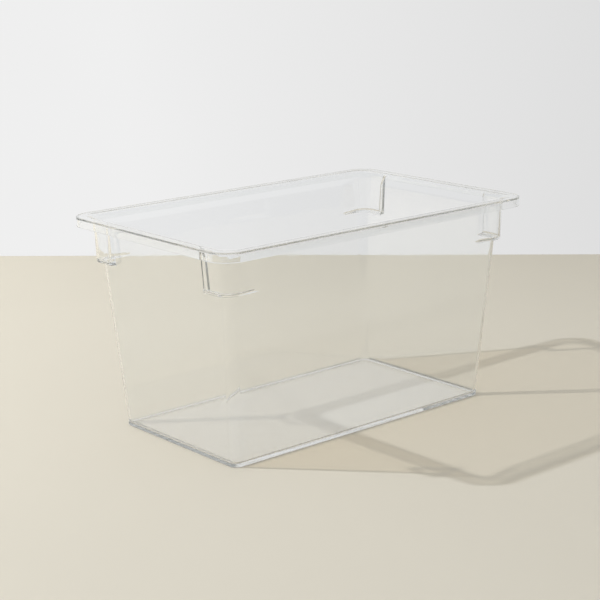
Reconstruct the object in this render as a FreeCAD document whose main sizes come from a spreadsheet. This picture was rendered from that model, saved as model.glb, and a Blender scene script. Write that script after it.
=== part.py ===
import FreeCAD, Part

import math
import os

import Sketcher

# A clear, open-topped food storage box: one thin-walled moulding, tapered so that boxes nest.
# X runs along the long side, Y along the short side and Z up.
# The origin is the centre of the flat underside.
# The moulding is built whole, as an outer solid less a hollow one wall smaller. It is then cut
# along flat planes into its named regions, which meet face to face and leave no gap.

DOCUMENT_NAME = "food_storage_box"
PARTS_FOLDER = "parts"

# The driving dimensions, in millimetres.
DRIVING_SIZES = {
    "rim_length": 457,
    "rim_width": 290,
    "box_height": 248,
    "rim_corner_radius": 27,
    "rim_edge_radius": 0.6,
    "skirt_depth": 11,
    "flat_width_end": 12,
    "flat_width_side": 10.5,
    "flare_run": 15.5,
    "flare_drop": 12.5,
    "flare_corner_radius": 18,
    "base_length": 380,
    "base_width": 208,
    "base_corner_radius": 10,
    "base_edge_radius": 1.5,
    "inside_edge_radius": 5,
    "taper_start": 9.5,
    "body_top_length": 415,
    "body_top_width": 249,
    "body_top_corner_radius": 14,
    "wall": 2.2,
    "floor_thickness": 3,
    "shoulder_depth": 52,
    "shoulder_half_length": 214,
    "shoulder_end_place": 86,
    "shoulder_corner_place": 131,
    "shoulder_corner_radius": 19,
    "shoulder_fade_place": 155,
    "shoulder_flank_place": 119.5,
    "shoulder_draft": 2.2,
    "shoulder_end_draft": 1,
    "rim_cut_drop": 13,
    "side_cut_place": 150,
    "end_cut_place": 82,
    "cut_margin": 20,
}

# Two places closer than this are the same place.
SAME_PLACE = 1e-3
# The share of the moulding's volume by which the regions' sum may differ from it. The volume
# over the ruled corners is itself only found to about half of this.
VOLUME_TOLERANCE = 5e-4
# A centimetre cubed, for the printed volumes.
CUBIC_CENTIMETRE = 1000


def size(alias):
    """The expression that reads one cell of the sheet."""
    return f"Sizes.{alias}"


NOTHING = "0"
UNDERSIDE = f"({size('box_height')} - {size('wall')})"
SKIRT_END = f"({size('box_height')} - {size('skirt_depth')})"
LEDGE = f"({size('box_height')} - {size('shoulder_depth')})"
FLARE_SLOPE = f"({size('flare_run')} / {size('flare_drop')})"
FLANK_RISE = f"({size('shoulder_corner_place')} - {size('shoulder_flank_place')})"
FLANK_RUN = f"({size('shoulder_half_length')} - {size('shoulder_fade_place')})"
FLANK_SLOPE = f"({FLANK_RISE} / {FLANK_RUN})"
# A wall on the slope stands further below its inner face than a level wall does.
FLARE_WALL_DROP = f"({size('wall')} * sqrt(1 + ({size('flare_drop')} / {size('flare_run')}) ^ 2))"


def make_sheet(doc):
    """Write the driving dimensions into the sheet, one aliased cell each."""
    sheet = doc.addObject("Spreadsheet::Sheet", "Sizes")
    for row, (alias, number) in enumerate(DRIVING_SIZES.items(), start=1):
        sheet.set(f"A{row}", alias)
        sheet.set(f"B{row}", str(number))
        sheet.setAlias(f"B{row}", alias)
    doc.recompute()
    return sheet


def value(sheet, expression):
    """The present number of an expression, used for a sketch's first guess."""
    result = sheet.evalExpression(expression)
    return float(getattr(result, "Value", result))


def horizontal_sketch(body, name, level):
    """A sketch on the body's own horizontal plane, lifted to a level."""
    sketch = body.newObject("Sketcher::SketchObject", name)
    plane = next(item for item in body.Origin.OriginFeatures if item.Role == "XY_Plane")
    sketch.AttachmentSupport = [(plane, "")]
    sketch.MapMode = "FlatFace"
    sketch.setExpression("AttachmentOffset.Base.z", level)
    return sketch


def bind(sketch, constraint, expression):
    """Add one constraint and drive it from the sheet."""
    index = sketch.addConstraint(constraint)
    sketch.setExpression(f"Constraints[{index}]", expression)


def rounded_rectangle(sheet, body, name, length, width, radius, level):
    """A centred rectangle whose four corners are equal arcs."""
    sketch = horizontal_sketch(body, name, level)
    half_x = value(sheet, length) / 2
    half_y = value(sheet, width) / 2
    corner = value(sheet, radius)
    up = FreeCAD.Vector(0, 0, 1)
    arcs = []
    for sign_x, sign_y, start in ((1, 1, 0), (-1, 1, 90), (-1, -1, 180), (1, -1, 270)):
        centre = FreeCAD.Vector(sign_x * (half_x - corner), sign_y * (half_y - corner), 0)
        circle = Part.Circle(centre, up, corner)
        arcs.append(Part.ArcOfCircle(circle, math.radians(start), math.radians(start + 90)))
    count = len(arcs)
    lines = []
    for index, arc in enumerate(arcs):
        following = arcs[(index + 1) % count]
        lines.append(Part.LineSegment(arc.EndPoint, following.StartPoint))
    sketch.addGeometry(arcs + lines, False)
    for index in range(count):
        line = count + index
        following = (index + 1) % count
        direction = "Horizontal" if index % 2 == 0 else "Vertical"
        sketch.addConstraint(Sketcher.Constraint("Tangent", index, 2, line, 1))
        sketch.addConstraint(Sketcher.Constraint("Tangent", line, 2, following, 1))
        sketch.addConstraint(Sketcher.Constraint(direction, line))
    for index in range(1, count):
        sketch.addConstraint(Sketcher.Constraint("Equal", 0, index))
    top, left, bottom, right = range(count, 2 * count)
    sketch.addConstraint(Sketcher.Constraint("Symmetric", top, 1, bottom, 1, -1, 1))
    bind(sketch, Sketcher.Constraint("Radius", 0, corner), radius)
    bind(sketch, Sketcher.Constraint("DistanceX", left, 1, right, 1, 2 * half_x), length)
    bind(sketch, Sketcher.Constraint("DistanceY", bottom, 1, top, 1, 2 * half_y), width)
    return sketch


def shoulder_outline(sheet, body, name, margin, end_margin, level):
    """A shoulder's level outline: a square end, one round corner and a flank that leans inwards."""
    fade_x = size("shoulder_fade_place")
    outer_x = f"({size('shoulder_half_length')} - {margin})"
    end_y = f"({size('shoulder_end_place')} + {end_margin})"
    flank_y = f"({size('shoulder_flank_place')} - {margin})"
    radius = f"({size('shoulder_corner_radius')} - {margin})"
    centre_x = f"({outer_x} - {radius})"
    flank_rise = f"({centre_x} - {fade_x}) * {FLANK_SLOPE}"
    centre_y = f"({flank_y} + {flank_rise} - {radius} * sqrt(1 + {FLANK_SLOPE} ^ 2))"
    sketch = horizontal_sketch(body, name, level)
    centre = FreeCAD.Vector(value(sheet, centre_x), value(sheet, centre_y), 0)
    circle = Part.Circle(centre, FreeCAD.Vector(0, 0, 1), value(sheet, radius))
    turn = math.pi / 2 + math.atan(value(sheet, FLANK_SLOPE))
    corner = Part.ArcOfCircle(circle, 0, turn)
    inner = FreeCAD.Vector(value(sheet, fade_x), value(sheet, end_y), 0)
    outer = FreeCAD.Vector(value(sheet, outer_x), value(sheet, end_y), 0)
    fade = FreeCAD.Vector(value(sheet, fade_x), value(sheet, flank_y), 0)
    sketch.addGeometry([
        Part.LineSegment(inner, outer), Part.LineSegment(outer, corner.StartPoint), corner,
        Part.LineSegment(corner.EndPoint, fade), Part.LineSegment(fade, inner)], False)
    end_face, outer_face, round_corner, flank, inner_face = range(5)
    for first, second in ((end_face, outer_face), (flank, inner_face), (inner_face, end_face)):
        sketch.addConstraint(Sketcher.Constraint("Coincident", first, 2, second, 1))
    sketch.addConstraint(Sketcher.Constraint("Tangent", outer_face, 2, round_corner, 1))
    sketch.addConstraint(Sketcher.Constraint("Tangent", round_corner, 2, flank, 1))
    sketch.addConstraint(Sketcher.Constraint("Vertical", outer_face))
    bind(sketch, Sketcher.Constraint("Radius", round_corner, circle.Radius), radius)
    bind(sketch, Sketcher.Constraint("DistanceY", -1, 1, round_corner, 3, centre.y), centre_y)
    for line, place, across, along in (
            (end_face, inner, fade_x, end_y), (outer_face, outer, outer_x, end_y),
            (inner_face, fade, fade_x, flank_y)):
        bind(sketch, Sketcher.Constraint("DistanceX", -1, 1, line, 1, place.x), across)
        bind(sketch, Sketcher.Constraint("DistanceY", -1, 1, line, 1, place.y), along)
    return sketch


def loft_between(doc, body, name, lower, upper):
    """Straight-sided loft from one level outline to the next."""
    loft = body.newObject("PartDesign::AdditiveLoft", name)
    loft.Profile = lower
    loft.Sections = [upper]
    loft.Ruled = True
    doc.recompute()
    return loft


def pad(doc, body, name, sketch, length):
    """Raise a level outline."""
    feature = body.newObject("PartDesign::Pad", name)
    feature.Profile = sketch
    feature.setExpression("Length", length)
    doc.recompute()
    return feature


def edges_at_level(shape, level):
    """Names of the edges that lie wholly at one level."""
    names = []
    for index, edge in enumerate(shape.Edges, start=1):
        box = edge.BoundBox
        if abs(box.ZMin - level) < SAME_PLACE and abs(box.ZMax - level) < SAME_PLACE:
            names.append(f"Edge{index}")
    return names


def fillet(doc, body, name, feature, edge_names, radius):
    """Round the named edges of a feature."""
    rounding = body.newObject("PartDesign::Fillet", name)
    rounding.Base = (feature, edge_names)
    rounding.setExpression("Radius", radius)
    doc.recompute()
    return rounding


def make_tapered_form(doc, sheet, name, inset, floor_level, foot_radius):
    """A tapered form, and the short upright foot with a rounded lower edge that it stands on."""
    both_insets = f"2 * {inset}"
    # Both faces of the wall start their taper at one level, so that it stays equally thick.
    foot_height = f"({size('taper_start')} - {floor_level})"
    base_sizes = (f"{size('base_length')} - {both_insets}",
                  f"{size('base_width')} - {both_insets}",
                  f"{size('base_corner_radius')} - {inset}")
    top_sizes = (f"{size('body_top_length')} - {both_insets}",
                 f"{size('body_top_width')} - {both_insets}",
                 f"{size('body_top_corner_radius')} - {inset}")
    foot = doc.addObject("PartDesign::Body", f"{name}_foot")
    foot_outline = rounded_rectangle(
        sheet, foot, f"{name}_foot_outline", *base_sizes, floor_level)
    block = pad(doc, foot, f"{name}_foot_block", foot_outline, foot_height)
    lower_edges = edges_at_level(block.Shape, value(sheet, floor_level))
    fillet(doc, foot, f"{name}_foot_edge", block, lower_edges, foot_radius)
    taper = doc.addObject("PartDesign::Body", f"{name}_taper")
    lower = rounded_rectangle(
        sheet, taper, f"{name}_lower_outline", *base_sizes, size("taper_start"))
    upper = rounded_rectangle(sheet, taper, f"{name}_upper_outline", *top_sizes, UNDERSIDE)
    loft_between(doc, taper, f"{name}_slope", lower, upper)
    return [foot, taper]


def make_shoulder(doc, sheet, name, inset):
    """One corner shoulder: square across the short end, fading into the long side.

    Its faces lean, so that it is smaller at its ledge than under the rim.
    """
    body = doc.addObject("PartDesign::Body", name)
    lower = shoulder_outline(
        sheet, body, f"{name}_ledge", f"({inset} + {size('shoulder_draft')})",
        f"({inset} + {size('shoulder_end_draft')})", f"({LEDGE} + {inset})")
    upper = shoulder_outline(sheet, body, f"{name}_head", inset, inset, UNDERSIDE)
    loft_between(doc, body, f"{name}_column", lower, upper)
    return body


def mirror_to_corners(doc, body):
    """The body in all four corners: itself and three mirror images."""
    across = doc.addObject("Part::Mirroring", f"{body.Name}_across")
    across.Source = body
    across.Normal = FreeCAD.Vector(1, 0, 0)
    pair = [body, across]
    images = []
    for source in pair:
        image = doc.addObject("Part::Mirroring", f"{source.Name}_along")
        image.Source = source
        image.Normal = FreeCAD.Vector(0, 1, 0)
        images.append(image)
    return pair + images


def make_flare(doc, sheet, name, top_level, drop_from_inner):
    """The sloped form between the rim's flat top and the walls."""
    body = doc.addObject("PartDesign::Body", name)
    # The inner slope passes through the flat top's inner edge, at the height of the box.
    rise = f"({top_level} - {size('box_height')} + {drop_from_inner})"
    outlines = []
    for suffix, growth, level in (
            ("foot", f"(0 - {size('flare_run')})",
             f"{size('box_height')} - {drop_from_inner} - {size('flare_drop')}"),
            ("head", f"{rise} * {FLARE_SLOPE}", top_level)):
        outlines.append(rounded_rectangle(
            sheet, body, f"{name}_{suffix}",
            f"{size('rim_length')} - 2 * {size('flat_width_end')} + 2 * {growth}",
            f"{size('rim_width')} - 2 * {size('flat_width_side')} + 2 * {growth}",
            f"{size('flare_corner_radius')} + {growth}", level))
    loft_between(doc, body, f"{name}_slope", *outlines)
    return body


def make_rim_plate(doc, sheet):
    """The flat flange and the skirt that hangs from its outer edge."""
    body = doc.addObject("PartDesign::Body", "rim_plate")
    outer = rounded_rectangle(
        sheet, body, "rim_outline",
        size("rim_length"), size("rim_width"), size("rim_corner_radius"), SKIRT_END)
    block = pad(doc, body, "rim_block", outer, size("skirt_depth"))
    rounding = fillet(doc, body, "rim_edge", block,
                      edges_at_level(block.Shape, value(sheet, size("box_height"))),
                      size("rim_edge_radius"))
    inner = rounded_rectangle(
        sheet, body, "skirt_inner_outline",
        f"{size('rim_length')} - 2 * {size('wall')}", f"{size('rim_width')} - 2 * {size('wall')}",
        f"{size('rim_corner_radius')} - {size('wall')}", SKIRT_END)
    pocket = body.newObject("PartDesign::Pocket", "under_flange")
    pocket.Profile = inner
    pocket.Reversed = True
    pocket.setExpression("Length", f"{size('skirt_depth')} - {size('wall')}")
    doc.recompute()
    removed = rounding.Shape.Volume - pocket.Shape.Volume
    if removed < value(sheet, f"{size('rim_length')} * {size('rim_width')}"):
        raise RuntimeError("the pocket under the flange removed nothing")
    return body


def fuse(doc, name, objects):
    """One solid of several overlapping ones."""
    union = doc.addObject("Part::MultiFuse", name)
    union.Shapes = objects
    union.Refine = True
    return union


def make_moulding(doc, sheet):
    """The whole box: the filled outer form less the hollow inside it."""
    shoulder = make_shoulder(doc, sheet, "shoulder_block", NOTHING)
    shoulder_hollow = make_shoulder(doc, sheet, "shoulder_hollow", size("wall"))
    outer_flare = make_flare(
        doc, sheet, "outer_flare", f"({size('box_height')} - {size('wall')} / 2)", FLARE_WALL_DROP)
    inner_flare = make_flare(
        doc, sheet, "inner_flare", f"({size('box_height')} + {size('wall')})", NOTHING)
    body_block = make_tapered_form(
        doc, sheet, "body_block", NOTHING, NOTHING, size("base_edge_radius"))
    body_hollow = make_tapered_form(
        doc, sheet, "body_hollow", size("wall"), size("floor_thickness"),
        size("inside_edge_radius"))
    outer_form = fuse(doc, "outer_form", [
        *body_block, outer_flare, make_rim_plate(doc, sheet), *mirror_to_corners(doc, shoulder)])
    inner_form = fuse(doc, "inner_form", [
        *body_hollow, inner_flare, *mirror_to_corners(doc, shoulder_hollow)])
    moulding = doc.addObject("Part::Cut", "moulding")
    moulding.Base = outer_form
    moulding.Tool = inner_form
    doc.recompute()
    return moulding


def cut_region(doc, moulding, label, across, along, levels):
    """One named region of the moulding: what lies inside a box of cutting planes."""
    box = doc.addObject("Part::Box", f"{label}_cut")
    spans = {"x": ("Length", across), "y": ("Width", along), "z": ("Height", levels)}
    for axis, (side, (low, high)) in spans.items():
        box.setExpression(side, f"({high}) - ({low})")
        box.setExpression(f"Placement.Base.{axis}", low)
    region = doc.addObject("Part::Common", label)
    region.Label = label
    region.Base = moulding
    region.Tool = box
    return region


def make_regions(doc, moulding):
    """Cut the moulding into floor, walls, shoulders, rim rails, end grips and rim corners."""
    far_x = f"({size('rim_length')} / 2 + {size('cut_margin')})"
    far_y = f"({size('rim_width')} / 2 + {size('cut_margin')})"
    cut_x = size("side_cut_place")
    cut_y = size("end_cut_place")
    below = f"0 - {size('cut_margin')}"
    above = f"{size('box_height')} + {size('cut_margin')}"
    floor_top = size("floor_thickness")
    rim_cut = f"{size('box_height')} - {size('rim_cut_drop')}"
    whole_x = (f"0 - {far_x}", far_x)
    whole_y = (f"0 - {far_y}", far_y)
    middle_x = (f"0 - {cut_x}", cut_x)
    middle_y = (f"0 - {cut_y}", cut_y)
    ends = {"left": (f"0 - {far_x}", f"0 - {cut_x}"), "right": (cut_x, far_x)}
    sides = {"front": (f"0 - {far_y}", f"0 - {cut_y}"), "back": (cut_y, far_y)}
    walls = (floor_top, rim_cut)
    rim = (rim_cut, above)
    regions = [cut_region(doc, moulding, "floor_panel", whole_x, whole_y, (below, floor_top))]
    for side, along in sides.items():
        regions.append(cut_region(doc, moulding, f"long_wall_{side}", middle_x, along, walls))
        regions.append(cut_region(doc, moulding, f"rim_rail_{side}", middle_x, along, rim))
    for end, across in ends.items():
        regions.append(cut_region(doc, moulding, f"end_wall_{end}", across, middle_y, walls))
        regions.append(cut_region(doc, moulding, f"end_grip_{end}", across, middle_y, rim))
    for side, along in sides.items():
        for end, across in ends.items():
            corner = f"{side}_{end}"
            regions.append(
                cut_region(doc, moulding, f"shoulder_column_{corner}", across, along, walls))
            regions.append(cut_region(doc, moulding, f"rim_corner_{corner}", across, along, rim))
    doc.recompute()
    return regions


def check_document(doc, moulding, regions):
    """Stop if any object failed, or if the regions don't add up to the moulding."""
    failed = [item.Name for item in doc.Objects if {"Invalid", "Error"} & set(item.State)]
    if failed:
        raise RuntimeError(f"failed objects: {failed}")
    for region in regions:
        shape = region.Shape
        if shape.isNull() or not shape.isValid() or len(shape.Solids) != 1:
            raise RuntimeError(f"{region.Label} is not one valid solid")
    total = sum(region.Shape.Volume for region in regions)
    if abs(total / moulding.Shape.Volume - 1) > VOLUME_TOLERANCE:
        raise RuntimeError(f"regions hold {total}, the moulding {moulding.Shape.Volume}")


def main():
    doc = FreeCAD.newDocument(DOCUMENT_NAME)
    sheet = make_sheet(doc)
    moulding = make_moulding(doc, sheet)
    regions = make_regions(doc, moulding)
    check_document(doc, moulding, regions)
    os.makedirs(PARTS_FOLDER, exist_ok=True)
    for region in regions:
        region.Shape.exportStep(os.path.join(PARTS_FOLDER, f"{region.Label}.step"))
        print(f"{region.Label}: {region.Shape.Volume / CUBIC_CENTIMETRE:.1f} cubic centimetres")
    print(f"whole moulding: {moulding.Shape.Volume / CUBIC_CENTIMETRE:.1f} cubic centimetres")


main()
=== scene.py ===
"""A clear, open-topped food storage box on a plain pale floor.

The real box is one moulding, so its looks are one seamless clear mesh, which stands for all the
regions that the frame cuts it into. The mesh has two faces, the inside and the outside of the
wall. Each is drawn up from the floor of the box ring by ring, over the rim and down its skirt,
where the two are bridged. Lengths are written in millimetres and turned into metres by MM.
"""

import logging
import math
from dataclasses import dataclass
from enum import Enum
from typing import Callable, Iterator

import bmesh
import bpy
from mathutils import Matrix, Vector


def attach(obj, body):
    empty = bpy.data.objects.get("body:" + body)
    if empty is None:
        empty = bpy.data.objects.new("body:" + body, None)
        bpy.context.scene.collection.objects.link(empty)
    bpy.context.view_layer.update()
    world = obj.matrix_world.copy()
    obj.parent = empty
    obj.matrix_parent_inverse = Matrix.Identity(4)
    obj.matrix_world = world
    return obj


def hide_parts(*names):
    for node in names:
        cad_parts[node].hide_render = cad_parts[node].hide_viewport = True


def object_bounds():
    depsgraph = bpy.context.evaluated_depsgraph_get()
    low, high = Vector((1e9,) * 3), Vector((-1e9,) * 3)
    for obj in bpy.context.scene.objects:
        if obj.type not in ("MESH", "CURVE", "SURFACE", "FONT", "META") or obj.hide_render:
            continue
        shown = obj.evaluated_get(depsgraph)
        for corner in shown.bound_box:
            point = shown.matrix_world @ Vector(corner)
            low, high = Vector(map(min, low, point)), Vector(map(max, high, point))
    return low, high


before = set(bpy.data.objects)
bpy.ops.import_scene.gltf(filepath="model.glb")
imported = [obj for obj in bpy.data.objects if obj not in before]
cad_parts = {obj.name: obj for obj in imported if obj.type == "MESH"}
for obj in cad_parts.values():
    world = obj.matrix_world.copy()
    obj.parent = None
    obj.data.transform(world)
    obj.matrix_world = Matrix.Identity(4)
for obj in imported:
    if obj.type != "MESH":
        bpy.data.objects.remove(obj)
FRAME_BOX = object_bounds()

MM = 0.001
HAIR = 1e-6
ON_LINE = 1e-5
PASSING = "passing"
BACKDROP_TURN = math.radians(46.1)

log = logging.getLogger("food_storage_box")


class Side(Enum):
    """Which face of the moulding's wall a skin is."""

    OUTSIDE = "outside"
    INSIDE = "inside"


class Shade(Enum):
    """The parts of the stage that have a colour of their own."""

    FLOOR = "floor"
    BACKDROP = "backdrop"


def ease(share: float) -> float:
    """Return a share from 0 to 1 with a soft start and end."""
    held = min(max(share, 0.0), 1.0)
    return held * held * (3.0 - 2.0 * held)


def between(low: float, high: float, share: float) -> float:
    """Return the value that lies a share of the way from low to high."""
    return low + (high - low) * share


def quarter_turn(steps: int) -> Iterator[tuple[float, float]]:
    """Give the sine and cosine of evenly spaced angles from 0 to 90 degrees.

    Args:
        steps: How many stretches the quarter turn is divided into.

    Returns:
        Pairs of sine and cosine, both ends included.
    """
    for step in range(steps + 1):
        angle = math.pi / 2 * step / steps
        yield math.sin(angle), math.cos(angle)


@dataclass(frozen=True)
class Outline:
    """One level outline of the box: a centred rectangle with round corners."""

    half_length: float
    half_width: float
    corner_radius: float
    level: float

    def grown(self, margin: float, level: float) -> "Outline":
        """Return the outline grown by an even margin, at another level."""
        return Outline(
            self.half_length + margin, self.half_width + margin, self.corner_radius + margin, level
        )

    def towards(self, other: "Outline", share: float, level: float) -> "Outline":
        """Return the outline a share of the way to another one, at a given level."""
        return Outline(
            between(self.half_length, other.half_length, share),
            between(self.half_width, other.half_width, share),
            between(self.corner_radius, other.corner_radius, share),
            level,
        )

    @property
    def corner_x(self) -> float:
        """Where the straight long side ends and the corner begins."""
        return self.half_length - self.corner_radius

    @property
    def corner_y(self) -> float:
        """Where the straight short side ends and the corner begins."""
        return self.half_width - self.corner_radius


@dataclass(frozen=True)
class BoxSizes:
    """The sizes that both faces of the wall are drawn from, in metres."""

    rim: Outline
    rim_radius: float = 27.0 * MM
    base_length: float = 380.0 * MM
    base_width: float = 208.0 * MM
    base_radius: float = 10.0 * MM
    base_edge: float = 1.5 * MM
    taper_start: float = 9.5 * MM
    inside_edge: float = 5.0 * MM
    wall: float = 2.2 * MM
    floor: float = 3.0 * MM
    skirt: float = 11.0 * MM
    flat_end: float = 12.0 * MM
    flat_side: float = 10.5 * MM
    flare_start_drop: float = 15.0 * MM
    flare_upright: float = 6.0 * MM
    flare_lead: float = 1.5 * MM
    flare_radius: float = 18.0 * MM
    top_grow_length: float = 17.5 * MM
    top_grow_width: float = 20.5 * MM
    top_radius: float = 14.0 * MM
    rim_edge: float = 0.6 * MM
    shoulder_depth: float = 52.0 * MM
    shoulder_reach: float = 214.0 * MM
    shoulder_end: float = 86.0 * MM
    shoulder_fade: float = 155.0 * MM
    flank_at_fade: float = 119.5 * MM
    flank_at_end: float = 131.0 * MM
    shoulder_radius: float = 19.0 * MM
    shoulder_draft: float = 2.2 * MM
    shoulder_end_draft: float = 1.0 * MM
    outer_bend: float = 1.2 * MM
    inner_bend: float = 2.0 * MM
    fade_lead: float = 6.0 * MM
    fade_soft: float = 0.4 * MM
    settle: float = 1.0 * MM

    @classmethod
    def from_frame(cls) -> "BoxSizes":
        """Read the overall sizes from the frame.

        Returns:
            The sizes of this box, with the rim as the frame has it.
        """
        rim_corner = FRAME_BOX[1]
        return cls(rim=Outline(rim_corner.x, rim_corner.y, cls.rim_radius, rim_corner.z))

    @property
    def base(self) -> Outline:
        """The outline of the outer wall's foot, where its taper begins."""
        return Outline(
            self.base_length / 2, self.base_width / 2, self.base_radius, self.taper_start)

    @property
    def top(self) -> Outline:
        """The outline that the tapered outer wall would reach under the rim."""
        return Outline(
            self.base_length / 2 + self.top_grow_length,
            self.base_width / 2 + self.top_grow_width,
            self.top_radius,
            self.rim.level - self.wall,
        )


@dataclass(frozen=True)
class Bend:
    """A step in the wall as seen in section: a root bend, a short flat and an outer bend."""

    place: float
    radius: float
    steps: int = 4

    @property
    def stations(self) -> list[float]:
        """Evenly spaced places along the wall for the points of the bend."""
        count = 2 * self.steps + 1
        first, last = self.place - self.radius, self.place + self.radius
        return [between(first, last, index / count) for index in range(count + 1)]

    def point(self, station: float, depth: float) -> tuple[float, float]:
        """Bend one station of the wall into the step.

        Args:
            station: A place along the wall.
            depth: How far the step stands out.

        Returns:
            How far out the point goes, as a share of the depth, and its new place along the wall.
        """
        count = 2 * self.steps + 1
        turn = (station - self.place + self.radius) / (2 * self.radius) * count / self.steps
        if turn <= 0.0:
            return 0.0, station
        if turn >= count / self.steps:
            return 1.0, station
        if turn <= 1.0 + HAIR:
            angle = math.pi / 2 * turn
            out = self.radius * (1.0 - math.cos(angle))
            return out / depth, self.place - self.radius * (1.0 - math.sin(angle))
        angle = math.pi / 2 * max(turn - 1.0 - 1.0 / self.steps, 0.0)
        out = depth - self.radius * (1.0 - math.sin(angle))
        return out / depth, self.place + self.radius * (1.0 - math.cos(angle))


@dataclass
class Skin:
    """One face of the moulding's wall, from the middle of the floor to the skirt's lower edge."""

    sizes: BoxSizes
    side: Side
    corner_steps: int = 14
    bend_steps: int = 5
    lip_steps: int = 3
    flare_steps: int = 10

    def __post_init__(self) -> None:
        """Work out the bends of the shoulders on this face of the wall."""
        sizes = self.sizes
        outside = self.side is Side.OUTSIDE
        self.inset = 0.0 if outside else sizes.wall
        bend = sizes.outer_bend if outside else sizes.inner_bend
        self.ledge = Bend(sizes.rim.level - sizes.shoulder_depth + self.inset, bend)
        self.end = Bend(sizes.shoulder_end + self.inset, bend)
        self.least_ledge = 2.5 * bend
        self.rings: list[Outline] = []

    def wall_at(self, level: float) -> Outline:
        """Find the outline of the tapered wall, which is upright below its taper.

        Args:
            level: The height above the underside.

        Returns:
            The wall's outline at that level.
        """
        sizes = self.sizes
        start = sizes.taper_start
        share = max((level - start) / (sizes.top.level - start), 0.0)
        return sizes.base.towards(sizes.top, share, level).grown(-self.inset, level)

    def foot_rings(self) -> list[Outline]:
        """Draw the section of the rounded edge round the floor.

        Returns:
            Its rings, from the floor up to where the taper begins.
        """
        outside = self.side is Side.OUTSIDE
        radius = self.sizes.base_edge if outside else self.sizes.inside_edge
        bottom = 0.0 if outside else self.sizes.floor
        foot = self.wall_at(bottom + radius)
        rings = []
        for sine, cosine in quarter_turn(self.bend_steps):
            rings.append(foot.grown(-radius * (1.0 - sine), bottom + radius * (1.0 - cosine)))
        rings.append(self.wall_at(self.sizes.taper_start))
        return rings

    def wall_rings(self) -> list[Outline]:
        """Return the rings of the wall, close together where the shoulders' ledges will be."""
        return [self.wall_at(level) for level in self.ledge.stations]

    def flare_rings(self) -> list[Outline]:
        """Draw the section of the curve that opens the wall out into the rim's flat top.

        Returns:
            Its rings, from the wall up to the flat top.
        """
        sizes = self.sizes
        start_level = sizes.rim.level - sizes.flare_start_drop
        inner = Skin(sizes, Side.INSIDE) if self.side is Side.OUTSIDE else self
        start = inner.wall_at(start_level)
        lead = sizes.flare_lead
        finish = Outline(
            sizes.rim.half_length - sizes.flat_end + lead,
            sizes.rim.half_width - sizes.flat_side + lead,
            sizes.flare_radius + lead,
            sizes.rim.level,
        )
        rings = []
        for step in range(self.flare_steps + 1):
            share, level, slope_share, slope_level = self.flare_curve(
                step / self.flare_steps, start_level, sizes.rim.level
            )
            ring = start.towards(finish, share, level)
            if self.side is Side.OUTSIDE:
                ring = self.thickened(ring, start, finish, slope_share, slope_level)
            rings.append(ring)
        return rings

    def flare_curve(
        self, part: float, low: float, high: float
    ) -> tuple[float, float, float, float]:
        """Follow the flare's section, a Bezier curve from upright to level.

        Args:
            part: How far along the curve, from 0 to 1.
            low: The level where the curve leaves the wall.
            high: The level of the rim's flat top.

        Returns:
            The share of the way out, the level, and how fast both change.
        """
        shares = (0.0, 0.02, 0.55, 1.0)
        levels = (low, low + self.sizes.flare_upright, high, high)
        rest = 1.0 - part
        weights = (rest**3, 3 * rest**2 * part, 3 * rest * part**2, part**3)
        speeds = (
            -3 * rest**2,
            3 * rest**2 - 6 * rest * part,
            6 * rest * part - 3 * part**2,
            3 * part**2,
        )
        return (
            sum(w * v for w, v in zip(weights, shares)),
            sum(w * v for w, v in zip(weights, levels)),
            sum(w * v for w, v in zip(speeds, shares)),
            sum(w * v for w, v in zip(speeds, levels)),
        )

    def thickened(
        self, ring: Outline, start: Outline, finish: Outline, run: float, rise: float
    ) -> Outline:
        """Move a ring of the flare's inner face through the wall to its outer face.

        Args:
            ring: The ring on the inner face.
            start: Where the flare leaves the wall.
            finish: Where the flare meets the flat top.
            run: How fast the section moves out, as a share.
            rise: How fast the section climbs.

        Returns:
            The ring on the outer face.
        """
        out_x = run * (finish.half_length - start.half_length)
        out_y = run * (finish.half_width - start.half_width)
        x = rise / math.hypot(rise, out_x)
        y = rise / math.hypot(rise, out_y)
        down = (out_x / math.hypot(rise, out_x) + out_y / math.hypot(rise, out_y)) / 2
        wall = self.sizes.wall
        return Outline(
            ring.half_length + wall * x,
            ring.half_width + wall * y,
            ring.corner_radius + wall * (x + y) / 2,
            ring.level - wall * down,
        )

    def rim_rings(self) -> list[Outline]:
        """Draw the section of the rim beyond the flare and of the skirt below its edge.

        Returns:
            Its rings, from the flat top out and down to the skirt's lower edge.
        """
        sizes = self.sizes
        outside = self.side is Side.OUTSIDE
        edge = sizes.rim.grown(-sizes.wall if outside else 0.0, sizes.rim.level)
        turn = sizes.rim_edge
        top = sizes.rim.level - (sizes.wall if outside else 0.0)
        bottom = sizes.rim.level - sizes.skirt
        rings = []
        for sine, cosine in quarter_turn(self.bend_steps):
            rings.append(edge.grown(-turn * (1.0 - sine), top - turn * (1.0 - cosine)))
        towards_lip = turn if outside else -turn
        for sine, cosine in quarter_turn(self.lip_steps):
            rings.append(edge.grown(towards_lip * (1.0 - cosine), bottom + turn * (1.0 - sine)))
        if outside:
            rings.append(sizes.rim.grown(-turn, bottom))
        return rings

    def make(self) -> bpy.types.Object:
        """Draw the skin up ring by ring and push its shoulders out.

        Returns:
            The skin's object, open along the skirt's lower edge.
        """
        self.rings = [
            *self.foot_rings(), *self.wall_rings(), *self.flare_rings(), *self.rim_rings()
        ]
        skin = start_outline(f"skin_{self.side.value}", self.rings[0], self.corner_steps)
        for last, ring in zip(self.rings, self.rings[1:]):
            draw_ring(last, ring)
        self.cut_columns()
        self.push_shoulders(skin)
        bpy.ops.object.mode_set(mode="OBJECT")
        log.info("skin %s: %d rings, %d faces", self.side.value, len(self.rings),
                 len(skin.data.polygons))
        return skin

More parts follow.
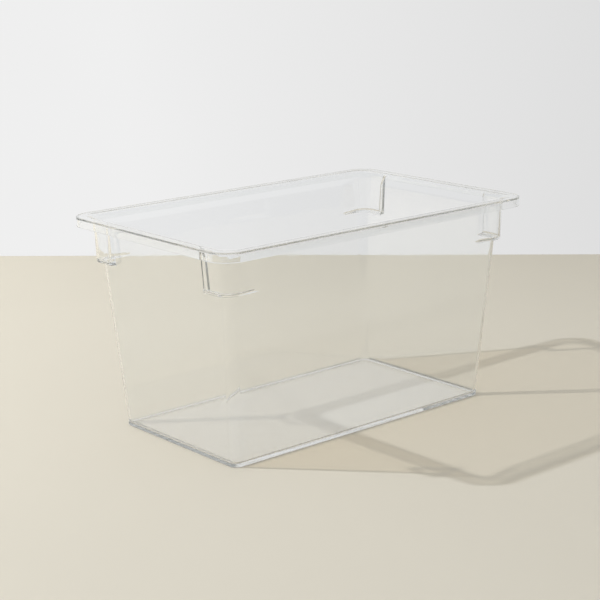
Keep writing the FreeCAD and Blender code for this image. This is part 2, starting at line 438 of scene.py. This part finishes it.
    def cut_columns(self) -> None:
        """Cut upright lines into the walls where the shoulders begin and end."""
        fade, lead = self.sizes.shoulder_fade, self.sizes.fade_lead
        flank = [fade + step * lead for step in range(-3, 4)]
        ends = [place for side in Side for place in Skin(self.sizes, side).end.stations]
        for axis, places in ((Vector((0, 1, 0)), ends), (Vector((1, 0, 0)), flank)):
            for place in places:
                for sign in (-1, 1):
                    bpy.ops.mesh.select_all(action="SELECT")
                    bpy.ops.mesh.bisect(plane_co=axis * place * sign, plane_no=axis)

    def push_shoulders(self, skin: bpy.types.Object) -> None:
        """Push the four shoulders out of the wall, one point at a time.

        A shoulder fades evenly into the long side, which no bevel on its narrowing ledge can
        follow, so its points are placed by the section of its bends.

        Args:
            skin: The skin's object, in edit mode.
        """
        lowest = self.ledge.stations[0]
        rings = [ring for ring in self.rings
                 if lowest - HAIR < ring.level < self.sizes.rim.level - HAIR]
        mesh = bmesh.from_edit_mesh(skin.data)
        for vertex in mesh.verts:
            ring = min(rings, key=lambda near: abs(near.level - vertex.co.z))
            level_with_ring = abs(ring.level - vertex.co.z) < HAIR
            if level_with_ring and abs(vertex.co.x) <= ring.half_length + HAIR:
                vertex.co = self.pushed(ring, vertex.co)
        bmesh.update_edit_mesh(skin.data)

    def pushed(self, ring: Outline, point: Vector) -> Vector:
        """Return where a point of the wall goes when the shoulders are pushed out.

        Args:
            ring: The outline that the point lies on.
            point: The point on the plain wall.

        Returns:
            The point on the shoulder, or the same point where there is no shoulder.
        """
        x, y = abs(point.x), abs(point.y)
        sizes = self.sizes
        height = sizes.shoulder_depth - sizes.wall - self.inset
        below_head = min((sizes.top.level - point.z) / height, 1.0)
        margin = self.inset + sizes.shoulder_draft * below_head
        reach = sizes.shoulder_reach - margin
        slope = (sizes.flank_at_end - sizes.flank_at_fade) / (
            sizes.shoulder_reach - sizes.shoulder_fade)
        lean = math.atan(slope)
        radius = sizes.shoulder_radius - margin
        flank = sizes.flank_at_fade - margin
        centre_x = reach - radius
        centre_y = flank + (centre_x - sizes.shoulder_fade) * slope - radius / math.cos(lean)
        fade_from = sizes.shoulder_fade - sizes.fade_lead
        share_of_end = 1.0
        across = 1.0
        if x > ring.corner_x + HAIR and y <= ring.corner_y + HAIR:
            depth = reach - ring.half_length
            first, last = self.end.stations[0], self.end.stations[-1]
            if depth <= HAIR or y <= first:
                return point
            share_of_end, bent = self.end.point(y, depth)
            shift = sizes.shoulder_end_draft * below_head
            along = (y - last) / (ring.corner_y - last)
            target_y = bent + shift if along <= 0 else between(last + shift, centre_y, along)
            target = Vector((reach, target_y))
            normal = Vector((1.0, 0.0))
        elif y > ring.corner_y + HAIR and x <= ring.corner_x + HAIR:
            if x <= fade_from:
                return point
            along = (x - fade_from) / (ring.corner_x - fade_from)
            arc_end = centre_x - radius * math.sin(lean)
            target_x = between(fade_from, arc_end, along)
            line = flank + (target_x - sizes.shoulder_fade) * slope
            gap = line - ring.half_width
            stand_out = (gap + math.hypot(gap, sizes.fade_soft)) / 2
            target = Vector((target_x, ring.half_width + stand_out))
            normal = Vector((0.0, 1.0))
            across = ease((x - fade_from) / sizes.fade_lead)
        elif x > ring.corner_x and y > ring.corner_y:
            angle = math.atan2(y - ring.corner_y, x - ring.corner_x) * (1.0 + lean / (math.pi / 2))
            normal = Vector((math.cos(angle), math.sin(angle)))
            target = Vector((centre_x, centre_y)) + normal * radius
        else:
            return point
        here = Vector((x, y))
        out = (target - here).dot(normal)
        if out <= 0.0:
            return point
        held = ease(out / sizes.settle) * across
        share_of_ledge, bent_level = self.ledge.point(point.z, max(out, self.least_ledge))
        moved = here.copy()
        if share_of_end < 1.0 and normal.x == 1.0:
            moved.x += (target.x - here.x) * share_of_end * share_of_ledge * held
            moved.y += (target.y - here.y) * share_of_ledge * held
        else:
            moved += (target - here) * share_of_ledge * held
        level = between(point.z, bent_level, share_of_end * held)
        return Vector((math.copysign(moved.x, point.x), math.copysign(moved.y, point.y), level))


def start_outline(name: str, outline: Outline, corner_steps: int) -> bpy.types.Object:
    """Add a level face with the shape of an outline, and stay in edit mode.

    Args:
        name: The new object's name.
        outline: The shape and level of the face.
        corner_steps: How many stretches each round corner has.

    Returns:
        The new object.
    """
    bpy.ops.object.select_all(action="DESELECT")
    bpy.ops.mesh.primitive_plane_add(size=2.0, location=(0.0, 0.0, 0.0))
    made = bpy.context.object
    made.name = name
    bpy.ops.object.mode_set(mode="EDIT")
    bpy.ops.mesh.select_all(action="SELECT")
    bpy.ops.transform.resize(value=(outline.half_length, outline.half_width, 1.0))
    bpy.ops.transform.translate(value=(0.0, 0.0, outline.level))
    bpy.ops.mesh.bevel(
        offset=outline.corner_radius, segments=corner_steps, affect="VERTICES", profile=0.5)
    return made


def select_points(test: Callable[[Vector], bool]) -> None:
    """Select the points of the edited mesh that pass a test, and no others.

    Args:
        test: Takes a point's place and says whether it is wanted.
    """
    mesh = bmesh.from_edit_mesh(bpy.context.object.data)
    for vertex in mesh.verts:
        vertex.select = test(vertex.co)
    mesh.select_flush_mode()
    bmesh.update_edit_mesh(bpy.context.object.data)


def draw_ring(last: Outline, ring: Outline) -> None:
    """Extrude the skin's open edge from one ring to the next.

    Args:
        last: The ring that the skin ends at.
        ring: The ring that it is drawn on to.
    """
    bpy.ops.mesh.select_mode(type="VERT")
    select_points(lambda co: abs(co.z - last.level) < HAIR and on_outline(co, last))
    bpy.ops.mesh.extrude_edges_move(
        TRANSFORM_OT_translate={"value": (0.0, 0.0, ring.level - last.level)})
    stretch_x = ring.half_length / last.half_length
    stretch_y = ring.half_width / last.half_width
    bpy.ops.transform.resize(
        value=(stretch_x, stretch_y, 1.0), center_override=(0.0, 0.0, ring.level))
    round_x = ring.corner_radius / (last.corner_radius * stretch_x)
    round_y = ring.corner_radius / (last.corner_radius * stretch_y)
    for sign_x in (-1, 1):
        for sign_y in (-1, 1):
            corner = (sign_x * ring.half_length, sign_y * ring.half_width, ring.level)
            reach_x = last.corner_radius * stretch_x
            reach_y = last.corner_radius * stretch_y
            select_points(lambda co: (
                abs(co.z - ring.level) < HAIR
                and abs(co.x - corner[0]) < reach_x + HAIR
                and abs(co.y - corner[1]) < reach_y + HAIR
                and not on_outline(co, last)))
            bpy.ops.transform.resize(value=(round_x, round_y, 1.0), center_override=corner)


def on_outline(place: Vector, outline: Outline) -> bool:
    """Say whether a place lies on an outline, seen from above.

    Args:
        place: The place, at any level.
        outline: The outline to compare it with.

    Returns:
        Whether the place is on the outline.
    """
    x, y = abs(place.x), abs(place.y)
    if x > outline.corner_x and y > outline.corner_y:
        away = math.hypot(x - outline.corner_x, y - outline.corner_y) - outline.corner_radius
        return abs(away) < ON_LINE
    return (
        abs(x - outline.half_length) < ON_LINE or abs(y - outline.half_width) < ON_LINE)


@dataclass(frozen=True)
class ClearPlastic:
    """Clear, faintly cool polycarbonate with soft flow marks, and a cooler underside whose tint is
    a painted sheen.
    """

    tint: tuple[float, float, float, float] = (0.985, 0.992, 0.995, 1.0)
    shade: tuple[float, float, float, float] = (0.66, 0.71, 0.73, 1.0)
    refraction: float = 1.586
    smooth: float = 0.012
    hazy: float = 0.06
    haze_range: tuple[float, float] = (0.45, 0.8)
    speck_scale: float = 60.0
    flow_scale: tuple[float, float, float] = (7.0, 7.0, 2.5)
    flow_curl: float = 0.8
    wave_strength: float = 0.35
    wave_height: float = 1.2 * MM
    density: float = 1.0
    # Painted sheen: a cooler tint for the underside, standing in for milky, bluish reflected light
    # on the tub floor.
    painted_underside_sheen: tuple[float, float, float, float] = (0.92, 0.95, 1.0, 1.0)
    underside_level: float = 0.3 * MM
    spread_light: float = 0.6

    def build(self) -> bpy.types.Material:
        """Make the material.

        Returns:
            A clear material whose shadow stays pale, as a clear moulding's does.
        """
        material, nodes, links = new_material("clear_polycarbonate")
        place = nodes.new("ShaderNodeTexCoord")
        stretch = nodes.new("ShaderNodeMapping")
        stretch.inputs["Scale"].default_value = self.flow_scale
        links.new(place.outputs["Object"], stretch.inputs["Vector"])
        flow = nodes.new("ShaderNodeTexNoise")
        flow.inputs["Scale"].default_value = 1.0
        flow.inputs["Detail"].default_value = 2.0
        flow.inputs["Distortion"].default_value = self.flow_curl
        links.new(stretch.outputs["Vector"], flow.inputs["Vector"])
        wave = nodes.new("ShaderNodeBump")
        wave.inputs["Strength"].default_value = self.wave_strength
        wave.inputs["Distance"].default_value = self.wave_height
        links.new(flow.outputs["Fac"], wave.inputs["Height"])

        speck = nodes.new("ShaderNodeTexNoise")
        speck.inputs["Scale"].default_value = self.speck_scale
        speck.inputs["Detail"].default_value = 5.0
        links.new(place.outputs["Object"], speck.inputs["Vector"])
        haze = nodes.new("ShaderNodeMapRange")
        haze.inputs["From Min"].default_value = self.haze_range[0]
        haze.inputs["From Max"].default_value = self.haze_range[1]
        haze.inputs["To Min"].default_value = self.smooth
        haze.inputs["To Max"].default_value = self.hazy
        links.new(speck.outputs["Fac"], haze.inputs["Value"])

        plastic = nodes.new("ShaderNodeBsdfPrincipled")
        plastic.inputs["IOR"].default_value = self.refraction
        plastic.inputs["Transmission Weight"].default_value = 1.0
        links.new(haze.outputs["Result"], plastic.inputs["Roughness"])
        links.new(wave.outputs["Normal"], plastic.inputs["Normal"])

        # Painted sheen: below the underside level the plastic takes a cooler tint, which stands in
        # for reflected light on the tub floor.
        height = nodes.new("ShaderNodeSeparateXYZ")
        links.new(place.outputs["Object"], height.inputs["Vector"])
        underside = nodes.new("ShaderNodeMath")
        underside.operation = "LESS_THAN"
        underside.inputs[1].default_value = self.underside_level
        links.new(height.outputs["Z"], underside.inputs[0])
        colour = nodes.new("ShaderNodeMix")
        colour.data_type = "RGBA"
        colour.inputs["A"].default_value = self.tint
        colour.inputs["B"].default_value = self.painted_underside_sheen
        links.new(underside.outputs["Value"], colour.inputs["Factor"])
        links.new(colour.outputs["Result"], plastic.inputs["Base Color"])

        light = nodes.new("ShaderNodeAttribute")
        light.attribute_name = PASSING
        ray = nodes.new("ShaderNodeLightPath")
        spread = nodes.new("ShaderNodeMath")
        spread.operation = "MULTIPLY"
        spread.inputs[1].default_value = self.spread_light
        links.new(ray.outputs["Is Diffuse Ray"], spread.inputs[0])
        regained = nodes.new("ShaderNodeMix")
        regained.data_type = "RGBA"
        regained.inputs["B"].default_value = (1.0, 1.0, 1.0, 1.0)
        links.new(spread.outputs["Value"], regained.inputs["Factor"])
        links.new(light.outputs["Color"], regained.inputs["A"])
        passing = nodes.new("ShaderNodeBsdfTransparent")
        links.new(regained.outputs["Result"], passing.inputs["Color"])
        either = nodes.new("ShaderNodeMath")
        either.operation = "MAXIMUM"
        links.new(ray.outputs["Is Shadow Ray"], either.inputs[0])
        links.new(ray.outputs["Is Diffuse Ray"], either.inputs[1])
        mix = nodes.new("ShaderNodeMixShader")
        links.new(either.outputs["Value"], mix.inputs["Fac"])
        links.new(plastic.outputs["BSDF"], mix.inputs[1])
        links.new(passing.outputs["BSDF"], mix.inputs[2])

        depth = nodes.new("ShaderNodeVolumeAbsorption")
        depth.inputs["Color"].default_value = self.shade
        depth.inputs["Density"].default_value = self.density
        out = nodes.new("ShaderNodeOutputMaterial")
        links.new(mix.outputs["Shader"], out.inputs["Surface"])
        links.new(depth.outputs["Volume"], out.inputs["Volume"])
        return material


@dataclass(frozen=True)
class PaleSurface:
    """A matt, faintly mottled surface of the stage, which may darken evenly along one direction as
    painted shade.
    """

    colour: tuple[float, float, float, float]
    mottle: float = 0.02
    lit_by_itself: bool = False
    # Painted shade: the colour that the surface darkens to along one direction.
    painted_shade_colour: tuple[float, float, float, float] | None = None
    fall_along: tuple[float, float, float] = (1.0, 0.0, 0.0)
    fall: tuple[float, float] = (0.0, 1.0)

    def build(self, name: str) -> bpy.types.Material:
        """Make the material.

        Args:
            name: The material's name.

        Returns:
            The matt material. A surface lit by itself shows its plain colour whatever the
            lamps do, and is clear from behind.
        """
        material, nodes, links = new_material(name)
        place = nodes.new("ShaderNodeTexCoord")
        cloud = nodes.new("ShaderNodeTexNoise")
        cloud.inputs["Scale"].default_value = 3.0
        cloud.inputs["Detail"].default_value = 6.0
        links.new(place.outputs["Object"], cloud.inputs["Vector"])
        tone = nodes.new("ShaderNodeMix")
        tone.data_type = "RGBA"
        tone.inputs["A"].default_value = tuple(
            value * (1.0 - self.mottle) for value in self.colour[:3]) + (1.0,)
        tone.inputs["B"].default_value = tuple(
            min(value * (1.0 + self.mottle), 1.0) for value in self.colour[:3]) + (1.0,)
        links.new(cloud.outputs["Fac"], tone.inputs["Factor"])
        colour = tone.outputs["Result"]
        # Painted shade: the colour darkens evenly along one direction.
        if self.painted_shade_colour is not None:
            colour = self.falling_tone(nodes, links, colour, place.outputs["Object"])
        matt = nodes.new("ShaderNodeBsdfPrincipled")
        matt.inputs["Roughness"].default_value = 0.9
        matt.inputs["Specular IOR Level"].default_value = 0.1
        links.new(colour, matt.inputs["Base Color"])
        out = nodes.new("ShaderNodeOutputMaterial")
        if not self.lit_by_itself:
            links.new(matt.outputs["BSDF"], out.inputs["Surface"])
            return material
        glow = nodes.new("ShaderNodeEmission")
        links.new(colour, glow.inputs["Color"])
        ray = nodes.new("ShaderNodeLightPath")
        seen = nodes.new("ShaderNodeMath")
        seen.operation = "MAXIMUM"
        links.new(ray.outputs["Is Camera Ray"], seen.inputs[0])
        links.new(ray.outputs["Is Glossy Ray"], seen.inputs[1])
        seen_through = nodes.new("ShaderNodeMath")
        seen_through.operation = "MAXIMUM"
        links.new(seen.outputs["Value"], seen_through.inputs[0])
        links.new(ray.outputs["Is Transmission Ray"], seen_through.inputs[1])
        front = nodes.new("ShaderNodeMixShader")
        links.new(seen_through.outputs["Value"], front.inputs["Fac"])
        links.new(matt.outputs["BSDF"], front.inputs[1])
        links.new(glow.outputs["Emission"], front.inputs[2])
        side = nodes.new("ShaderNodeNewGeometry")
        clear = nodes.new("ShaderNodeBsdfTransparent")
        mix = nodes.new("ShaderNodeMixShader")
        links.new(side.outputs["Backfacing"], mix.inputs["Fac"])
        links.new(front.outputs["Shader"], mix.inputs[1])
        links.new(clear.outputs["BSDF"], mix.inputs[2])
        links.new(mix.outputs["Shader"], out.inputs["Surface"])
        return material

    def falling_tone(
        self,
        nodes: bpy.types.Nodes,
        links: bpy.types.NodeLinks,
        near: bpy.types.NodeSocket,
        place: bpy.types.NodeSocket,
    ) -> bpy.types.NodeSocket:
        """Let the surface's colour darken evenly along one direction, a painted fall-off of light
        across it.

        Args:
            nodes: The material's nodes.
            links: The material's links.
            near: The colour where the change begins.
            place: The place on the surface.

        Returns:
            The changing colour.
        """
        along = nodes.new("ShaderNodeVectorMath")
        along.operation = "DOT_PRODUCT"
        along.inputs[1].default_value = self.fall_along
        links.new(place, along.inputs[0])
        share = nodes.new("ShaderNodeMapRange")
        share.inputs["From Min"].default_value, share.inputs["From Max"].default_value = self.fall
        links.new(along.outputs["Value"], share.inputs["Value"])
        tone = nodes.new("ShaderNodeMix")
        tone.data_type = "RGBA"
        tone.inputs["B"].default_value = self.painted_shade_colour
        links.new(near, tone.inputs["A"])
        links.new(share.outputs["Result"], tone.inputs["Factor"])
        return tone.outputs["Result"]


def new_material(
    name: str,
) -> tuple[bpy.types.Material, bpy.types.Nodes, bpy.types.NodeLinks]:
    """Make an empty node material.

    Args:
        name: The material's name.

    Returns:
        The material, its nodes and its links.
    """
    material = bpy.data.materials.new(name)
    material.use_nodes = True
    material.node_tree.nodes.clear()
    return material, material.node_tree.nodes, material.node_tree.links


@dataclass
class Tub:
    """The whole moulding: the inside and the outside of the wall, joined along the skirt."""

    sizes: BoxSizes
    finish: ClearPlastic
    tight_bend: float = 6.0 * MM
    slight_bend: float = 40.0 * MM
    wall_light: tuple[float, float, float] = (0.94, 0.915, 0.87)
    floor_light: tuple[float, float, float] = (0.985, 0.985, 0.985)
    rim_light: tuple[float, float, float] = (0.75, 0.72, 0.66)
    bend_loss: float = 0.6
    rim_light_depth: float = 12.0 * MM
    weld: float = 0.02 * MM

    def build(self) -> bpy.types.Object:
        """Make the tub and put it in the place of the frame's nodes.

        Returns:
            The finished tub.
        """
        skins = [Skin(self.sizes, side).make() for side in Side]
        tub = self.joined(skins)
        tub.data.materials.append(self.finish.build())
        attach(tub, "root")
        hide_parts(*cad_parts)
        return tub

    def joined(self, skins: list[bpy.types.Object]) -> bpy.types.Object:
        """Join the two skins into one closed shell.

        Args:
            skins: The outside and the inside of the wall, which end on the same ring.

        Returns:
            The closed, smooth shell.
        """
        bpy.ops.object.select_all(action="DESELECT")
        for skin in skins:
            skin.select_set(True)
        bpy.context.view_layer.objects.active = skins[0]
        bpy.ops.object.join()
        tub = bpy.context.object
        tub.name = tub.data.name = "tub"
        bpy.ops.object.mode_set(mode="EDIT")
        bpy.ops.mesh.select_all(action="SELECT")
        bpy.ops.mesh.remove_doubles(threshold=self.weld)
        bpy.ops.mesh.normals_make_consistent(inside=False)
        bpy.ops.object.mode_set(mode="OBJECT")
        bpy.ops.object.shade_smooth()
        even = tub.modifiers.new("even_shading", "WEIGHTED_NORMAL")
        even.keep_sharp = True
        bpy.ops.object.modifier_apply(modifier=even.name)
        self.mark_light(tub)
        return tub

    def mark_light(self, tub: bpy.types.Object) -> None:
        """Note on each point the colour and share of the light that passes on straight.

        The upright wall turns and dims some of it and the flared rim more. Tight bends turn
        most of it aside, so they draw darker lines in the tub's shadow.

        Args:
            tub: The closed shell.
        """
        mesh = bmesh.new()
        mesh.from_mesh(tub.data)
        tightest, slightest = 1.0 / self.tight_bend, 1.0 / self.slight_bend
        values = []
        for vertex in mesh.verts:
            most = 0.0
            for edge in vertex.link_edges:
                one, other = edge.link_faces
                apart = (one.calc_center_median() - other.calc_center_median()).length
                most = max(most, one.normal.angle(other.normal, 0.0) / max(apart, HAIR))
            bend = ease((most - slightest) / (tightest - slightest))
            light = self.light_at(vertex.co)
            values.extend((*(value * (1.0 - self.bend_loss * bend) for value in light), 1.0))
        mesh.free()
        tub.data.color_attributes.new(PASSING, "FLOAT_COLOR", "POINT").data.foreach_set(
            "color", values)

    def light_at(self, point: Vector) -> tuple[float, float, float]:
        """Find the share of the light that a face passes on.

        Args:
            point: A place on the face.

        Returns:
            The share of red, of green and of blue light.
        """
        floor_edge = self.sizes.floor + 0.5 * self.sizes.inside_edge
        inner = self.sizes.base.grown(-2.0 * self.sizes.wall, 0.0)
        if point.z < floor_edge and abs(point.x) < inner.half_length and (
                abs(point.y) < inner.half_width):
            return self.floor_light
        if point.z > self.sizes.rim.level - self.rim_light_depth:
            return self.rim_light
        return self.wall_light


@dataclass
class Stage:
    """The floor that the tub stands on and the pale wall behind it."""

    floor_half: float = 2.6
    backdrop_turn: float = BACKDROP_TURN
    backdrop_away: float = 0.834
    backdrop_width: float = 6.0
    backdrop_height: float = 1.4
    under_tub: float = 0.2 * MM
    floor_finish: PaleSurface = PaleSurface((0.640, 0.602, 0.515, 1.0))
    # The backdrop glows in its own colour and darkens evenly from one end to the other: a painted
    # fall-off of light.
    backdrop_finish: PaleSurface = PaleSurface(
        colour=(0.865, 0.865, 0.865, 1.0),
        mottle=0.01,
        lit_by_itself=True,
        painted_shade_colour=(0.735, 0.735, 0.735, 1.0),
        fall_along=(math.sin(BACKDROP_TURN), -math.cos(BACKDROP_TURN), 0.0),
        fall=(-0.35, 0.46),
    )

    def build(self) -> list[bpy.types.Object]:
        """Make the floor and the backdrop.

        Returns:
            Both stage objects.
        """
        floor = self.sheet(Shade.FLOOR, (2 * self.floor_half, 2 * self.floor_half))
        floor.data.materials.append(self.floor_finish.build("matt_floor"))
        wall = self.sheet(Shade.BACKDROP, (self.backdrop_width, self.backdrop_height))
        bpy.ops.object.mode_set(mode="EDIT")
        bpy.ops.mesh.select_all(action="SELECT")
        bpy.ops.mesh.flip_normals()
        bpy.ops.object.mode_set(mode="OBJECT")
        away = Vector((math.cos(self.backdrop_turn), math.sin(self.backdrop_turn), 0.0))
        up = Vector((0.0, 0.0, 1.0))
        along = up.cross(away)
        turn = Matrix((along, up, -away)).transposed().to_4x4()
        lift = away * self.backdrop_away + up * self.backdrop_height / 2
        wall.data.transform(Matrix.Translation(lift) @ turn)
        wall.data.materials.append(self.backdrop_finish.build("matt_wall"))
        return [floor, wall]

    def sheet(self, shade: Shade, size: tuple[float, float]) -> bpy.types.Object:
        """Add a level sheet, the floor a hair's breadth under the tub.

        Args:
            shade: Which part of the stage it is.
            size: Its length and width.

        Returns:
            The sheet's object.
        """
        bpy.ops.object.select_all(action="DESELECT")
        bpy.ops.mesh.primitive_plane_add(size=1.0, location=(0.0, 0.0, 0.0))
        made = bpy.context.object
        made.name = made.data.name = shade.value
        level = -self.under_tub if shade is Shade.FLOOR else 0.0
        made.data.transform(
            Matrix.Translation((0.0, 0.0, level)) @ Matrix.Diagonal((*size, 1.0, 1.0)))
        return made


@dataclass
class StudioLight:
    """One small lamp high on the left and a pale dome that is dimmer low down."""

    lamp_place: tuple[float, float, float] = (-1.866, 1.449, 2.302)
    lamp_size: float = 0.07
    lamp_aim: tuple[float, float, float] = (0.0, 0.0, 0.1)
    lamp_power: float = 66.5
    sky: tuple[float, float, float, float] = (0.66, 0.67, 0.68, 1.0)
    dim: tuple[float, float, float, float] = (0.30, 0.30, 0.31, 1.0)
    dim_up_to: float = 0.35

    def build(self) -> None:
        """Make the lamp and the world."""
        bpy.ops.object.light_add(type="AREA", location=self.lamp_place)
        lamp = bpy.context.object
        lamp.name = "key_lamp"
        lamp.data.shape = "DISK"
        lamp.data.size = self.lamp_size
        lamp.data.energy = self.lamp_power
        lamp.visible_glossy = False
        lamp.visible_transmission = False
        aim = Vector(self.lamp_aim) - Vector(self.lamp_place)
        lamp.rotation_euler = aim.to_track_quat("-Z", "Y").to_euler()
        self.surroundings()

    def surroundings(self) -> None:
        """Give the world its pale dome, which dims towards the horizon and below it."""
        world = bpy.data.worlds.new("studio")
        bpy.context.scene.world = world
        world.use_nodes = True
        nodes, links = world.node_tree.nodes, world.node_tree.links
        nodes.clear()
        place = nodes.new("ShaderNodeTexCoord")
        split = nodes.new("ShaderNodeSeparateXYZ")
        links.new(place.outputs["Generated"], split.inputs["Vector"])
        ramp = nodes.new("ShaderNodeMapRange")
        ramp.interpolation_type = "SMOOTHSTEP"
        ramp.inputs["From Min"].default_value = 0.0
        ramp.inputs["From Max"].default_value = self.dim_up_to
        links.new(split.outputs["Z"], ramp.inputs["Value"])
        tone = nodes.new("ShaderNodeMix")
        tone.data_type = "RGBA"
        tone.inputs["A"].default_value = self.dim
        tone.inputs["B"].default_value = self.sky
        links.new(ramp.outputs["Result"], tone.inputs["Factor"])
        light = nodes.new("ShaderNodeBackground")
        links.new(tone.outputs["Result"], light.inputs["Color"])
        out = nodes.new("ShaderNodeOutputWorld")
        links.new(light.outputs["Background"], out.inputs["Surface"])


@dataclass
class PhotoCamera:
    """The camera, at the photograph's place, heading and framing."""

    place: tuple[float, float, float] = (-1.1549, -1.3703, 0.5934)
    heading: float = math.radians(41.5)
    pitch: float = math.radians(14.1)
    roll: float = math.radians(-0.7)
    focal_length: float = 94.15
    sensor: float = 36.0
    shift: tuple[float, float] = (-0.0685, -0.0129)
    turns_in_the_wall: int = 200
    clear_layers: int = 32

    def build(self) -> bpy.types.Object:
        """Make the camera and set the view transform.

        Returns:
            The scene's camera.
        """
        forward = Vector((
            math.sin(self.heading) * math.cos(self.pitch),
            math.cos(self.heading) * math.cos(self.pitch),
            -math.sin(self.pitch)))
        level = Vector((math.cos(self.heading), -math.sin(self.heading), 0.0))
        lifted = level.cross(forward)
        right = level * math.cos(self.roll) + lifted * math.sin(self.roll)
        up = lifted * math.cos(self.roll) - level * math.sin(self.roll)
        bpy.ops.object.camera_add()
        camera = bpy.context.object
        camera.name = "camera"
        camera.data.sensor_width = self.sensor
        camera.data.lens = self.focal_length
        camera.data.shift_x, camera.data.shift_y = self.shift
        turn = Matrix((right, up, -forward)).transposed().to_4x4()
        camera.matrix_world = Matrix.Translation(self.place) @ turn
        bpy.context.scene.camera = camera
        bpy.context.scene.view_settings.view_transform = "Standard"
        self.follow_light_through_the_wall()
        return camera

    def follow_light_through_the_wall(self) -> None:
        """Let light turn often enough inside the clear wall to come out again."""
        cycles = bpy.context.scene.cycles
        cycles.max_bounces = self.turns_in_the_wall
        cycles.transmission_bounces = self.turns_in_the_wall
        cycles.glossy_bounces = self.turns_in_the_wall
        cycles.transparent_max_bounces = self.clear_layers


def main() -> None:
    """Build the box, its stage, its light and the camera."""
    logging.basicConfig(level=logging.INFO, format="%(name)s: %(message)s")
    PhotoCamera().build()
    sizes = BoxSizes.from_frame()
    tub = Tub(sizes, ClearPlastic()).build()
    log.info("tub: %d faces", len(tub.data.polygons))
    for sheet in Stage().build():
        log.info("stage: %s", sheet.name)
    StudioLight().build()


if __name__ == "__main__":
    main()
